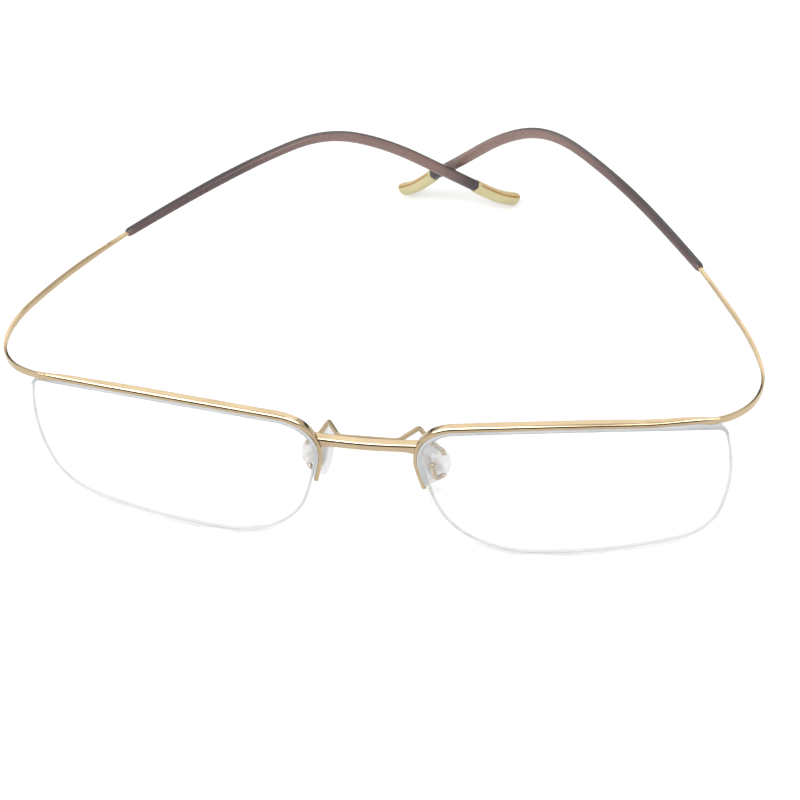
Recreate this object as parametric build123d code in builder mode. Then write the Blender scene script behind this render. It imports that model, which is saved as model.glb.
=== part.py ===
from build123d import *
import math
import os

os.makedirs("parts", exist_ok=True)

# ---------------------------------------------------------------------------
# Half rim eyeglasses, hingeless titanium frame.  Millimetres, +Z up.
# +X is the wearer's left, the front faces -Y and the temples run to +Y.
# The glasses stand on z = 0 on the two lens bottoms and the two temple tips.
# Shape data below is in "front" coordinates (origin between the lens centres);
# at() moves it to the part's own frame.
# ---------------------------------------------------------------------------
y_mid = 52.35           # front origin to the middle of the overall depth
z_rest = 16.43          # lens centre height above the table

# lens and eyewire
wrap_deg = 8.13         # face-form (wrap) angle of each lens
tilt_deg = 7.16         # top of the lens leans forward
lens_x = 34.95          # lens centre to mid-plane
lens_y = -0.08
sag_radius = 130.0      # base curve of the lens mid surface
lens_half_t = 1.0       # half lens thickness
groove_half_w = 0.33    # nylon groove, half width
groove_depth = 0.45
bar_in, bar_out = 0.62, 1.55        # brow bar, distance from the lens edge
bar_half_depth = 0.72
leg_in, leg_out = 0.30, 1.05        # nasal leg of the half rim
leg_half_depth = 0.5
seat_gap = 0.04         # lens edge to liner, liner to eyewire
bar_end_u = 18.3        # where the grooved bar stops and the strip goes on
leg_end_v = 0.3         # lower end of the nasal leg
cord_out = 0.05         # nylon cord stands this far out of the lens edge

# bridge and pad arms
bridge_r = 0.95
wire_r = 0.45           # pad arm wire
wire_gap = 0.03

# nose pads
pad_l, pad_w, pad_t = 9.8, 6.0, 2.0
pad_c = (9.2, 6.2, 0.2)
pad_n = (-0.856, 0.453, -0.252)     # towards the nose
barrel_xy = (12.0, 5.0)
barrel_r = 1.0
barrel_z0, barrel_z1 = -1.3, 2.5
tab_c = (11.08, 5.39, 0.6)          # D-shaped boss the arm passes through
tab_out = (0.919, -0.394, 0.0)
tab_side = (0.394, 0.919, 0.0)
tab_r = 2.15
pin_clear = 0.03

# strip temples
strip_h = 1.5           # strip height at the bend
strip_t = 0.7           # strip thickness
arm_h = 1.25            # strip height along the temple
arm_t = 0.62
flex = (65.4, 12.4, 13.2)           # flexure axis passes here
flex_gap = 0.08
tang_r = 0.45           # round wire tail inside the sleeve
sleeve_r0 = 0.92        # sleeve, front run
sleeve_r1 = 1.15        # sleeve, hook
bore_r = 0.46
cap_w, cap_h = 2.9, 2.3

# lens outline as a closed chain of tangent arcs (u outward, v up):
# centre u, centre v, radius, start angle, sweep
lens_arcs = [
    (-6.136, 166.434, 182.896, -90.46, 7.94),
    (16.513, -6.094, 8.887, -82.52, 66.67),
    (-13.509, 2.427, 40.095, -15.85, 28.10),
    (23.480, 10.461, 2.244, 12.25, 66.23),
    (-1.291, -111.162, 126.364, 78.49, 19.87),
    (-18.579, 6.534, 7.405, 98.36, 91.40),
    (45.111, 17.484, 72.029, 189.75, 8.41),
    (-7.477, 0.225, 16.681, 198.17, 71.37),
]


def at(x, y, z):
    return (x, y - y_mid, z + z_rest)


def unit(v):
    n = math.sqrt(sum(c * c for c in v))
    return tuple(c / n for c in v)


w = math.radians(wrap_deg)
t = math.radians(tilt_deg)
lens_u = (math.cos(w), math.sin(w) * math.cos(t), math.sin(w) * math.sin(t))
lens_n = (-math.sin(w), math.cos(w) * math.cos(t), math.cos(w) * math.sin(t))
lens_plane = Plane(
    origin=at(lens_x, lens_y, 0),
    x_dir=lens_u,
    z_dir=tuple(-c for c in lens_n),
)
sag_plane = lens_plane.offset(-sag_radius)


def outline(d):
    """Closed outline of the lens, pushed outward by d; call inside BuildLine."""
    pts = []
    for cu, cv, r, a0, sw in lens_arcs:
        ends = []
        for k in (0.0, 0.5):
            a = math.radians(a0 + k * sw)
            ends.append((cu + (r + d) * math.cos(a), cv + (r + d) * math.sin(a)))
        pts.append(ends)
    for i, (start, mid) in enumerate(pts):
        ThreePointArc(start, mid, pts[(i + 1) % len(pts)][0])


def radii(pts):
    """Fillet radii that use 0.45 of the shorter run at each corner."""
    out = []
    for a, b, c in zip(pts, pts[1:], pts[2:]):
        va, vb = Vector(b) - Vector(a), Vector(c) - Vector(b)
        half = math.radians(va.get_angle(vb)) / 2
        out.append(0.45 * min(va.length, vb.length) / math.tan(half))
    return out


def placed(pts, side):
    return [at(side * x, y, z) for x, y, z in pts]


def mirrored(pts):
    return [(-x, y, z) for x, y, z in pts]


# --- lenses ----------------------------------------------------------------
with BuildPart() as lens_blank:
    with BuildSketch(lens_plane):
        with BuildLine():
            outline(0)
        make_face()
    extrude(amount=9, both=True)
    with Locations(sag_plane):
        Sphere(sag_radius + lens_half_t, rotation=(90, 0, 0), mode=Mode.INTERSECT)
        Sphere(sag_radius - lens_half_t, rotation=(90, 0, 0), mode=Mode.SUBTRACT)

# ring that the groove removes from the lens edge
with BuildPart() as edge_groove:
    with BuildSketch(lens_plane):
        with BuildLine():
            outline(0.9)
        make_face()
        with BuildLine():
            outline(-groove_depth)
        make_face(mode=Mode.SUBTRACT)
    extrude(amount=9, both=True)
    with Locations(sag_plane):
        Sphere(sag_radius + groove_half_w, rotation=(90, 0, 0), mode=Mode.INTERSECT)
        Sphere(sag_radius - groove_half_w, rotation=(90, 0, 0), mode=Mode.SUBTRACT)

with BuildPart() as left_lens:
    add(lens_blank.part)
    add(edge_groove.part, mode=Mode.SUBTRACT)

# --- half rims ---------------------------------------------------------------
bar_region = [(bar_end_u, 20), (bar_end_u, 8.4), (-15, 8.4), (-30, 8.4), (-30, 20)]
leg_region = [(-15, 9.4), (-15, leg_end_v), (-30, leg_end_v), (-30, 9.4)]


def band(d_in, d_out, half, region):
    """Edge band between two offsets of the outline, following the base curve."""
    with BuildPart() as b:
        with BuildSketch(lens_plane):
            with BuildLine():
                outline(d_out)
            make_face()
            with BuildLine():
                outline(d_in)
            make_face(mode=Mode.SUBTRACT)
            with BuildLine():
                Polyline(*region, close=True)
            make_face(mode=Mode.INTERSECT)
        extrude(amount=9, both=True)
        with Locations(sag_plane):
            Sphere(sag_radius + half, rotation=(90, 0, 0), mode=Mode.INTERSECT)
            Sphere(sag_radius - half, rotation=(90, 0, 0), mode=Mode.SUBTRACT)
    return b.part


bar_piece = band(bar_in, bar_out, bar_half_depth, bar_region)
leg_piece = band(leg_in, leg_out, leg_half_depth, leg_region)
with BuildPart() as left_rim:
    add(bar_piece)
    add(leg_piece)
    add(edge_groove.part, mode=Mode.SUBTRACT)

# --- nylon liners in the rim groove, and nylon cords round the rest -----------
liner_region = [(bar_end_u - 0.3, 20), (bar_end_u - 0.3, 8), (-15, 8),
                (-15, leg_end_v + 0.3), (-30, leg_end_v + 0.3), (-30, 20)]
cord_region = [(bar_end_u + 0.05, 20), (30, 20), (30, -20), (-30, -20),
               (-30, leg_end_v - 0.05), (-15, leg_end_v - 0.05), (-15, 5),
               (bar_end_u + 0.05, 5)]
head_region = [(bar_end_u - 0.3, 20), (bar_end_u - 0.3, 9.5), (-30, 9.5), (-30, 20)]
heel_region = [(-15, 9.9), (-15, leg_end_v + 0.3), (-30, leg_end_v + 0.3), (-30, 9.9)]
with BuildPart() as left_rim_liner:
    add(band(-groove_depth + 0.05, 0.85, groove_half_w - 0.03, liner_region))
    # the visible light strip between the lens and the eyewire
    add(band(seat_gap, bar_in - seat_gap, 0.62, head_region))
    add(band(seat_gap, leg_in - seat_gap, 0.40, heel_region))
with BuildPart() as left_nylon_cord:
    add(band(-groove_depth + 0.05, cord_out, groove_half_w - 0.03, cord_region))

# --- bridge ------------------------------------------------------------------
bridge_pts = [(-9.3, -1.15, 8.95), (-3.6, -1.65, 9.15), (3.6, -1.65, 9.15), (9.3, -1.15, 8.95)]
with BuildPart() as bridge:
    bp = placed(bridge_pts, 1)
    with BuildLine() as bridge_line:
        FilletPolyline(*bp, radius=radii(bp))
    with BuildSketch(Plane(origin=bp[0], z_dir=Vector(bp[1]) - Vector(bp[0]))):
        Circle(bridge_r)
    sweep()
    add(left_rim.part, mode=Mode.SUBTRACT)
    add(mirror(left_rim.part, about=Plane.YZ, mode=Mode.PRIVATE), mode=Mode.SUBTRACT)
    add(left_rim_liner.part, mode=Mode.SUBTRACT)
    add(mirror(left_rim_liner.part, about=Plane.YZ, mode=Mode.PRIVATE), mode=Mode.SUBTRACT)
    add(left_lens.part, mode=Mode.SUBTRACT)
    add(mirror(left_lens.part, about=Plane.YZ, mode=Mode.PRIVATE), mode=Mode.SUBTRACT)

# --- pad arm wire: one wire soldered along the back of the bridge ---------------
wire_half = [
    (4.9, -1.62 + bridge_r + wire_r + wire_gap, 9.2),
    (7.8, 5.1, 8.0),
    (9.6, 5.2, 4.9),
    (12.0, 5.0, 3.8),
    (12.0, 5.0, -2.5),
    (10.55, 3.5, -2.4),
    (10.2, 3.3, 1.0),
]
wire_pts = mirrored(wire_half[::-1]) + wire_half
with BuildPart() as pad_arm_wire:
    wp = placed(wire_pts, 1)
    with BuildLine():
        FilletPolyline(*wp, radius=[min(r, 3.2) for r in radii(wp)])
    with BuildSketch(Plane(origin=wp[0], z_dir=Vector(wp[1]) - Vector(wp[0]))):
        Circle(wire_r)
    sweep()
    with Locations(wp[0], wp[-1]):
        Sphere(0.6)

# --- nose pads: a hard core with the barrel, inside a soft cushion --------------
pad_plane = Plane(origin=at(*pad_c), x_dir=(-0.223, 0.118, 0.967), z_dir=pad_n)
with BuildPart() as left_nose_pad_core:
    # oval base plate inside the cushion
    with BuildSketch(pad_plane.offset(-0.62)):
        Ellipse(3.3, 1.8)
    extrude(amount=0.75)
    # neck from the plate out to the barrel
    with BuildSketch(pad_plane.offset(-0.5)):
        Ellipse(1.3, 0.75)
    extrude(amount=-2.6)
    # D-shaped boss, its flat side towards the pad
    with BuildSketch(Plane(origin=at(*tab_c), x_dir=tab_out, z_dir=tab_side)):
        Circle(tab_r)
        with Locations((-tab_r - 0.2, 0)):
            Rectangle(2 * tab_r, 3 * tab_r, mode=Mode.SUBTRACT)
    extrude(amount=barrel_r, both=True)
    with Locations(at(barrel_xy[0], barrel_xy[1], (barrel_z0 + barrel_z1) / 2)):
        Cylinder(barrel_r, barrel_z1 - barrel_z0)
        Cylinder(wire_r + pin_clear, 12, mode=Mode.SUBTRACT)

with BuildPart() as left_nose_pad_cushion:
    with BuildSketch(pad_plane.offset(-pad_t / 2)):
        Ellipse(pad_l / 2, pad_w / 2)
    extrude(amount=pad_t)
    fillet(edges().filter_by(GeomType.ELLIPSE), 0.85)
    add(left_nose_pad_core.part, mode=Mode.SUBTRACT)

# --- endpiece strips: the strip's root, brazed to the end of the brow bar -------
root_pts = [(52.75, 3.05, 15.35), (59.9, 5.2, 14.2), (64.2, 9.6, 13.45), flex]
rp = [Vector(*at(*p)) for p in root_pts]
root_n = (rp[1] - rp[0]).cross(rp[3] - rp[1]).normalized()
if root_n.Z < 0:
    root_n = -root_n
root_plane = Plane(origin=rp[1], x_dir=(rp[1] - rp[0]).normalized(), z_dir=root_n)


def flat(plane, p):
    q = plane.to_local_coords(Vector(*p))
    return (q.X, q.Y)


with BuildPart() as left_endpiece_strip:
    with BuildSketch(root_plane):
        with BuildLine():
            fp = [flat(root_plane, p) for p in rp]
            FilletPolyline(*fp, radius=radii([(p[0], p[1], 0) for p in fp]))
        trace(line_width=strip_t)
    extrude(amount=strip_h / 2, both=True)
    # stops just short of the flexure axis
    with Locations(at(*flex)):
        Cylinder(strip_t / 2 + flex_gap, 8, mode=Mode.SUBTRACT)
    add(left_rim.part, mode=Mode.SUBTRACT)
    add(left_lens.part, mode=Mode.SUBTRACT)
    add(left_nylon_cord.part, mode=Mode.SUBTRACT)
    add(left_rim_liner.part, mode=Mode.SUBTRACT)


# --- temples -----------------------------------------------------------------
# own-side coordinates: x outward.  The strip stays level, the sleeves rise a
# little and then hook down; the two hooks cross behind, right one in front.
right_arm = [flex, (66.9, 18.6, 13.2), (65.2, 27.0, 13.2), (59.8, 38.0, 13.2), (54.6, 46.6, 13.2)]
left_arm = [flex, (66.9, 18.6, 13.2), (64.5, 27.0, 13.2), (58.8, 38.0, 13.2), (53.6, 46.6, 13.2)]
right_sleeve_pts = [(53.7, 48.1, 13.2), (44.4, 60.2, 14.0), (32.3, 71.9, 15.8),
                    (21.6, 80.3, 16.7), (11.3, 88.0, 9.6), (0.7, 95.8, -1.8), (-4.5, 99.6, -7.4)]
left_sleeve_pts = [(52.6, 48.3, 13.2), (43.6, 62.1, 14.0), (33.5, 73.7, 15.7),
                   (22.3, 84.1, 17.1), (12.2, 91.8, 10.9), (-0.2, 99.9, -3.0), (-4.5, 102.5, -7.2)]
right_tip = (-11.9, 105.9, -15.55)
left_tip = (-11.9, 107.2, -15.62)


def midpoint(a, b):
    return tuple((p + q) / 2 for p, q in zip(a, b))


def route(pts, corner_radii, radius):
    """Round bar along straight runs and tangent arcs."""
    with BuildPart() as bar:
        with BuildLine():
            FilletPolyline(*pts, radius=corner_radii)
        with BuildSketch(Plane(origin=pts[0], z_dir=Vector(pts[1]) - Vector(pts[0]))):
            Circle(radius)
        sweep()
    return bar.part


def back_from(a, b, d):
    """Point d before a on the line from a to b."""
    run = (Vector(b) - Vector(a)).normalized()
    return tuple(Vector(a) - run * d)


def temple_parts(arm_pts, sleeve_pts, tip, side, tail_corners=2, thick_corners=3):
    arm = placed(arm_pts, side)
    slv = placed(sleeve_pts, side)
    end = at(side * tip[0], tip[1], tip[2])
    r_all = radii(slv)
    tail_end = midpoint(slv[tail_corners], slv[tail_corners + 1])
    tail = [back_from(slv[0], slv[1], 3.0)] + slv[1:tail_corners + 1] + [tail_end]
    bore = [back_from(slv[0], slv[1], 1.0)] + slv[1:tail_corners + 1]
    bore += [midpoint(tail_end, midpoint(tail_end, slv[tail_corners + 1]))]
    tail_bar = route(tail, r_all[:tail_corners], tang_r)
    bore_bar = route(bore, r_all[:tail_corners], bore_r)
    with BuildPart() as temple:
        with BuildSketch(Plane.XY.offset(arm[0][2])):
            with BuildLine():
                fa = [(p[0], p[1]) for p in arm]
                FilletPolyline(*fa, radius=radii([(p[0], p[1], 0) for p in arm]))
            trace(line_width=arm_t)
        extrude(amount=arm_h / 2, both=True)
        with Locations(arm[0]):
            Cylinder(strip_t / 2, strip_h)
        add(tail_bar)
    thick_start = midpoint(slv[thick_corners], slv[thick_corners + 1])
    thick = [thick_start] + slv[thick_corners + 1:]
    run = (Vector(end) - Vector(slv[-1])).normalized()
    across = (Vector(0, 0, 1) - run * run.Z).normalized()
    spigot_plane = Plane(origin=Vector(slv[-1]) - run * 0.0, x_dir=across, z_dir=run)
    with BuildPart() as cap:
        with BuildSketch(spigot_plane.offset(0.05)):
            Ellipse(cap_w / 2, cap_h / 2)
        extrude(amount=(Vector(end) - Vector(slv[-1])).length)
        fillet(edges().filter_by(GeomType.ELLIPSE).sort_by(Axis.Z)[0], 0.8)
        with BuildSketch(spigot_plane.offset(1.0)):
            Circle(0.55)
        extrude(amount=-3.0)
    with BuildPart() as sleeve:
        add(route(slv, r_all, sleeve_r0))
        add(route(thick, r_all[thick_corners:], sleeve_r1))
        add(bore_bar, mode=Mode.SUBTRACT)
        with BuildSketch(spigot_plane.offset(0.5)):
            Circle(0.57)
        extrude(amount=-2.6, mode=Mode.SUBTRACT)
    return temple, sleeve, cap


right_temple, right_temple_sleeve, right_tip_cap = temple_parts(right_arm, right_sleeve_pts, right_tip, -1)
left_temple, left_temple_sleeve, left_tip_cap = temple_parts(left_arm, left_sleeve_pts, left_tip, 1)

# --- right side, mirrored ------------------------------------------------------
def mirror_of(part):
    with BuildPart() as m:
        add(part)
        mirror(about=Plane.YZ, mode=Mode.REPLACE)
    return m


right_lens = mirror_of(left_lens.part)
right_rim = mirror_of(left_rim.part)
right_rim_liner = mirror_of(left_rim_liner.part)
right_nylon_cord = mirror_of(left_nylon_cord.part)
right_endpiece_strip = mirror_of(left_endpiece_strip.part)
right_nose_pad_core = mirror_of(left_nose_pad_core.part)
right_nose_pad_cushion = mirror_of(left_nose_pad_cushion.part)

nodes = {
    "right_rim": right_rim, "left_rim": left_rim,
    "bridge": bridge, "pad_arm_wire": pad_arm_wire,
    "right_lens": right_lens, "left_lens": left_lens,
    "right_nylon_cord": right_nylon_cord, "left_nylon_cord": left_nylon_cord,
    "right_rim_liner": right_rim_liner, "left_rim_liner": left_rim_liner,
    "right_endpiece_strip": right_endpiece_strip, "left_endpiece_strip": left_endpiece_strip,
    "right_nose_pad_core": right_nose_pad_core, "left_nose_pad_core": left_nose_pad_core,
    "right_nose_pad_cushion": right_nose_pad_cushion, "left_nose_pad_cushion": left_nose_pad_cushion,
    "right_temple": right_temple, "left_temple": left_temple,
    "right_temple_sleeve": right_temple_sleeve, "left_temple_sleeve": left_temple_sleeve,
    "right_tip_cap": right_tip_cap, "left_tip_cap": left_tip_cap,
}
for name, item in nodes.items():
    item.part.label = name
    export_step(item.part, f"parts/{name}.step")
    box = item.part.bounding_box()
    print(f"{name:26s} solids {len(item.part.solids())} vol {item.part.volume:9.2f} "
          f"x {box.min.X:7.2f} {box.max.X:7.2f} y {box.min.Y:7.2f} {box.max.Y:7.2f} z {box.min.Z:7.2f} {box.max.Z:7.2f}")
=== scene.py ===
import bpy
import math
import numpy as np
from mathutils import Matrix, Vector


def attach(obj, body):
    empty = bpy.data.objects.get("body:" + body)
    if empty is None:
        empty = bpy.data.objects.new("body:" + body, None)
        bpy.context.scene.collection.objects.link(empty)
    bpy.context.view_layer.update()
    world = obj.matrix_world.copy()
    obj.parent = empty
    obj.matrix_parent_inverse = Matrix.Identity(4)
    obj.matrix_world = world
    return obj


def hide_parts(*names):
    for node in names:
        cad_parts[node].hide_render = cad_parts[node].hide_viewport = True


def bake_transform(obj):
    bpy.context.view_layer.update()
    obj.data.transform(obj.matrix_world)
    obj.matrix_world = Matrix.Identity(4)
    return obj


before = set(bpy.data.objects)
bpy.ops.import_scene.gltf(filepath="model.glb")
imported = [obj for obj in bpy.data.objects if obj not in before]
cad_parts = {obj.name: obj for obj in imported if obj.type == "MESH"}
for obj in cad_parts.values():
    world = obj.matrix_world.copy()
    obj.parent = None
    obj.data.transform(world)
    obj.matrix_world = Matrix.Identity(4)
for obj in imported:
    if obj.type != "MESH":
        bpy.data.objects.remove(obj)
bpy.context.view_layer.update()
scene = bpy.context.scene

# ---------------------------------------------------------------------------
# Shared numbers, the same as the CAD's, in millimetres in "front" coordinates
# ---------------------------------------------------------------------------
Y_MID, Z_REST = 52.35, 16.43
WRAP, TILT = math.radians(8.13), math.radians(7.16)
LENS_O = np.array([34.95, -0.08, 0.0])
SAG_R = 130.0
LENS_ARCS = [
    (-6.136, 166.434, 182.896, -90.46, 7.94),
    (16.513, -6.094, 8.887, -82.52, 66.67),
    (-13.509, 2.427, 40.095, -15.85, 28.10),
    (23.480, 10.461, 2.244, 12.25, 66.23),
    (-1.291, -111.162, 126.364, 78.49, 19.87),
    (-18.579, 6.534, 7.405, 98.36, 91.40),
    (45.111, 17.484, 72.029, 189.75, 8.41),
    (-7.477, 0.225, 16.681, 198.17, 71.37),
]
LENS_C = np.array([0.3, -0.6])          # middle of the outline
BAR_END_A = 81.08                       # angle on arc 5 where the grooved bar ends
STEP_U = 20.9                           # lower step at the outer end of the bar
HEAD_U = 23.6                           # where the strip leaves the lens outline
HEAD_A = math.degrees(math.acos((HEAD_U + 1.291) / 126.364))
LEG_END_A = 193.80                      # angle on arc 7 where the nasal leg ends


def W(p):
    """Front coordinates in mm to the row frame in metres."""
    p = np.asarray(p, float)
    q = p + np.array([0.0, -Y_MID, Z_REST])
    return q * 0.001


def lens_axes(side):
    u = np.array([side * math.cos(WRAP), math.sin(WRAP) * math.cos(TILT), math.sin(WRAP) * math.sin(TILT)])
    n = np.array([-side * math.sin(WRAP), math.cos(WRAP) * math.cos(TILT), math.cos(WRAP) * math.sin(TILT)])
    v = np.array([0.0, -math.sin(TILT), math.cos(TILT)])
    return u, v, n


def LP(side, u, v, e):
    """Point on the lens base curve; u outward, v up, e behind the mid surface."""
    U, V, N = lens_axes(side)
    o = LENS_O * np.array([side, 1, 1])
    rho2 = u * u + v * v
    sag = SAG_R - math.sqrt(SAG_R * SAG_R - rho2)
    # the depth runs along the sphere's own normal
    k = e / SAG_R
    return o + U * (u * (1 - k)) + V * (v * (1 - k)) + N * (sag + e * (1 - rho2 / (2 * SAG_R * SAG_R)))


def arc_points(i, a0=None, a1=None, n=None, step=0.35):
    """(u, v, outward u, outward v) along arc i between two angles in degrees."""
    cu, cv, r, s, sw = LENS_ARCS[i]
    a0 = s if a0 is None else a0
    a1 = s + sw if a1 is None else a1
    if n is None:
        n = max(3, int(abs(math.radians(a1 - a0)) * r / step))
    out = []
    for a in np.radians(np.linspace(a0, a1, n, endpoint=False)):
        out.append((cu + r * math.cos(a), cv + r * math.sin(a), math.cos(a), math.sin(a)))
    return out


# ---------------------------------------------------------------------------
# Mesh helpers
# ---------------------------------------------------------------------------
def new_object(name, verts, faces, mats, face_mat=None, smooth=True, sharp=38.0, attrs=None):
    me = bpy.data.meshes.new(name)
    me.from_pydata([tuple(v) for v in verts], [], faces)
    for m in mats:
        me.materials.append(m)
    if face_mat is not None:
        me.polygons.foreach_set("material_index", face_mat)
    me.polygons.foreach_set("use_smooth", [smooth] * len(me.polygons))
    if attrs:
        for key, values in attrs.items():
            at = me.attributes.new(key, "FLOAT", "POINT")
            at.data.foreach_set("value", np.asarray(values, np.float32))
    me.update()
    if smooth and sharp:
        me.set_sharp_from_angle(angle=math.radians(sharp))
    ob = bpy.data.objects.new(name, me)
    scene.collection.objects.link(ob)
    return ob


def lathe_tube(centres, axes_a, axes_b, sections, closed=False, cap0=None, cap1=None):
    """Loft of closed sections. sections[i] is an (m, 2) array along the two axes.
    cap0/cap1: None for open, "flat" or a dome height in the centres' unit."""
    n, m = len(centres), len(sections[0])
    verts, faces = [], []
    for c, A, B, s in zip(centres, axes_a, axes_b, sections):
        s = np.asarray(s)
        verts.extend(list(c + np.outer(s[:, 0], A) + np.outer(s[:, 1], B)))
    rings = n if closed else n - 1
    for i in range(rings):
        j = (i + 1) % n
        for k in range(m):
            l = (k + 1) % m
            faces.append((i * m + k, i * m + l, j * m + l, j * m + k))

    def add_cap(i, flip, dome):
        c = np.mean(verts[i * m:(i + 1) * m], axis=0)
        ring = [i * m + k for k in range(m)]
        d = np.zeros(3)
        if dome != "flat":
            t = centres[i] - centres[i + 1] if i == 0 else centres[i] - centres[i - 1]
            d = t / np.linalg.norm(t)
            steps = 5
            base = np.array(verts[i * m:(i + 1) * m])
            for s in range(1, steps):
                ang = math.pi / 2 * s / steps
                layer = c + (base - c) * math.cos(ang) + d * dome * math.sin(ang)
                start = len(verts)
                verts.extend(list(layer))
                new = [start + k for k in range(m)]
                for k in range(m):
                    l = (k + 1) % m
                    q = (ring[k], new[k], new[l], ring[l])
                    faces.append(q if not flip else q[::-1])
                ring = new
            tip = c + d * dome
        else:
            tip = c
        verts.append(tip)
        t_i = len(verts) - 1
        for k in range(m):
            l = (k + 1) % m
            f = (ring[k], t_i, ring[l])
            faces.append(f if not flip else f[::-1])

    if not closed:
        if cap0 is not None:
            add_cap(0, False, cap0)
        if cap1 is not None:
            add_cap(n - 1, True, cap1)
    return verts, faces


def fix_normals(ob):
    import bmesh
    bm = bmesh.new()
    bm.from_mesh(ob.data)
    bmesh.ops.recalc_face_normals(bm, faces=bm.faces)
    bm.to_mesh(ob.data)
    bm.free()
    return ob


def weld(ob, dist=1e-6):
    import bmesh
    bm = bmesh.new()
    bm.from_mesh(ob.data)
    bmesh.ops.remove_doubles(bm, verts=bm.verts, dist=dist)
    bmesh.ops.dissolve_degenerate(bm, dist=dist, edges=bm.edges)
    bmesh.ops.recalc_face_normals(bm, faces=bm.faces)
    bm.to_mesh(ob.data)
    bm.free()
    return ob


def rounded(ctrl, radii, n):
    """Polyline with a true arc at each inner corner, resampled evenly."""
    P = np.asarray(ctrl, float)
    out = [P[0]]
    for i in range(1, len(P) - 1):
        a, b, c = P[i - 1], P[i], P[i + 1]
        u = (a - b) / np.linalg.norm(a - b)
        v = (c - b) / np.linalg.norm(c - b)
        half = math.acos(max(-1.0, min(1.0, u.dot(v)))) / 2
        t = radii[i - 1] / math.tan(half)
        p, q = b + u * t, b + v * t
        o = b + (u + v) / np.linalg.norm(u + v) * (radii[i - 1] / math.sin(half))
        e1 = (p - o) / np.linalg.norm(p - o)
        e2 = (q - o) / np.linalg.norm(q - o)
        ang = math.acos(max(-1.0, min(1.0, e1.dot(e2))))
        for k in np.linspace(0, 1, 24):
            d = (math.sin((1 - k) * ang) * e1 + math.sin(k * ang) * e2) / math.sin(ang)
            out.append(o + d * radii[i - 1])
    out.append(P[-1])
    return resample(np.array(out), n)


def circle(r, m=24, ry=None):
    a = np.linspace(0, 2 * math.pi, m, endpoint=False)
    return np.c_[r * np.cos(a), (r if ry is None else ry) * np.sin(a)]


def superellipse(rx, ry, p, m=32):
    a = np.linspace(0, 2 * math.pi, m, endpoint=False)
    c, s = np.cos(a), np.sin(a)
    return np.c_[rx * np.sign(c) * np.abs(c) ** (2 / p), ry * np.sign(s) * np.abs(s) ** (2 / p)]


def spline(ctrl, n, smooth=0.0):
    """Quadratic B-spline through the run midpoints of ctrl, ends included,
    resampled evenly and lightly smoothed so that curvature is continuous."""
    P = np.asarray(ctrl, float)
    mids = [P[0]] + [(P[i] + P[i + 1]) / 2 for i in range(1, len(P) - 2)] + [P[-1]]
    pts = []
    for i in range(len(mids) - 1):
        a, b, c = mids[i], P[i + 1], mids[i + 1]
        for t in np.linspace(0, 1, 60, endpoint=False):
            pts.append((1 - t) ** 2 * a + 2 * t * (1 - t) * b + t * t * c)
    pts.append(mids[-1])
    pts = resample(np.array(pts), n)
    if smooth > 0:
        d = np.linalg.norm(np.diff(pts, axis=0), axis=1).mean()
        w = max(1, int(smooth / d))
        for _ in range(3):
            ext = np.vstack([2 * pts[0] - pts[1:w + 1][::-1], pts, 2 * pts[-1] - pts[-w - 1:-1][::-1]])
            k = np.ones(2 * w + 1) / (2 * w + 1)
            pts = np.c_[[np.convolve(ext[:, j], k, "valid") for j in range(3)]].T
        pts = resample(pts, n)
    return pts


def resample(pts, n):
    s = np.r_[0, np.cumsum(np.linalg.norm(np.diff(pts, axis=0), axis=1))]
    q = np.linspace(0, s[-1], n)
    return np.c_[[np.interp(q, s, pts[:, j]) for j in range(3)]].T


def arclen(pts):
    return np.r_[0, np.cumsum(np.linalg.norm(np.diff(pts, axis=0), axis=1))]


def tangents(pts):
    t = np.gradient(pts, axis=0)
    return t / np.linalg.norm(t, axis=1)[:, None]


def frames_up(pts, up=(0, 0, 1)):
    """Axes (side, up) at each point, with 'up' kept as near vertical as it can be."""
    T = tangents(pts)
    A, B = [], []
    for t in T:
        s = np.cross(t, up)
        s /= np.linalg.norm(s)
        A.append(s)
        B.append(np.cross(s, t))
    return np.array(A), np.array(B)


def frames_transport(pts):
    T = tangents(pts)
    ref = np.array([0.0, 1.0, 0.0]) if abs(T[0][1]) < 0.8 else np.array([0.0, 0.0, 1.0])
    a = np.cross(T[0], ref)
    a /= np.linalg.norm(a)
    A, B = [], []
    for t in T:
        a = a - t * np.dot(a, t)
        a /= np.linalg.norm(a)
        A.append(a.copy())
        B.append(np.cross(t, a))
    return np.array(A), np.array(B)


def smoothstep(x, a, b):
    t = np.clip((np.asarray(x, float) - a) / (b - a), 0, 1)
    return t * t * (3 - 2 * t)


# ---------------------------------------------------------------------------
# Materials
# ---------------------------------------------------------------------------
def lin(c):
    c = np.array(c, float) / 255.0
    return tuple(np.where(c <= 0.04045, c / 12.92, ((c + 0.055) / 1.055) ** 2.4)) + (1.0,)


def base_material(name, **sockets):
    m = bpy.data.materials.new(name)
    m.use_nodes = True
    nt = m.node_tree
    b = nt.nodes["Principled BSDF"]
    for k, v in sockets.items():
        b.inputs[k.replace("_", " ")].default_value = v
    return m, nt, b


def node(nt, kind, **props):
    n = nt.nodes.new(kind)
    for k, v in props.items():
        setattr(n, k, v)
    return n


def noise(nt, scale, detail=3.0, rough=0.5, coords="Object", stretch=None):
    tc = node(nt, "ShaderNodeTexCoord")
    n = node(nt, "ShaderNodeTexNoise")
    n.inputs["Scale"].default_value = scale
    n.inputs["Detail"].default_value = detail
    n.inputs["Roughness"].default_value = rough
    if stretch:
        mp = node(nt, "ShaderNodeMapping")
        mp.inputs["Scale"].default_value = stretch
        nt.links.new(tc.outputs[coords], mp.inputs["Vector"])
        nt.links.new(mp.outputs["Vector"], n.inputs["Vector"])
    else:
        nt.links.new(tc.outputs[coords], n.inputs["Vector"])
    return n


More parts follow.
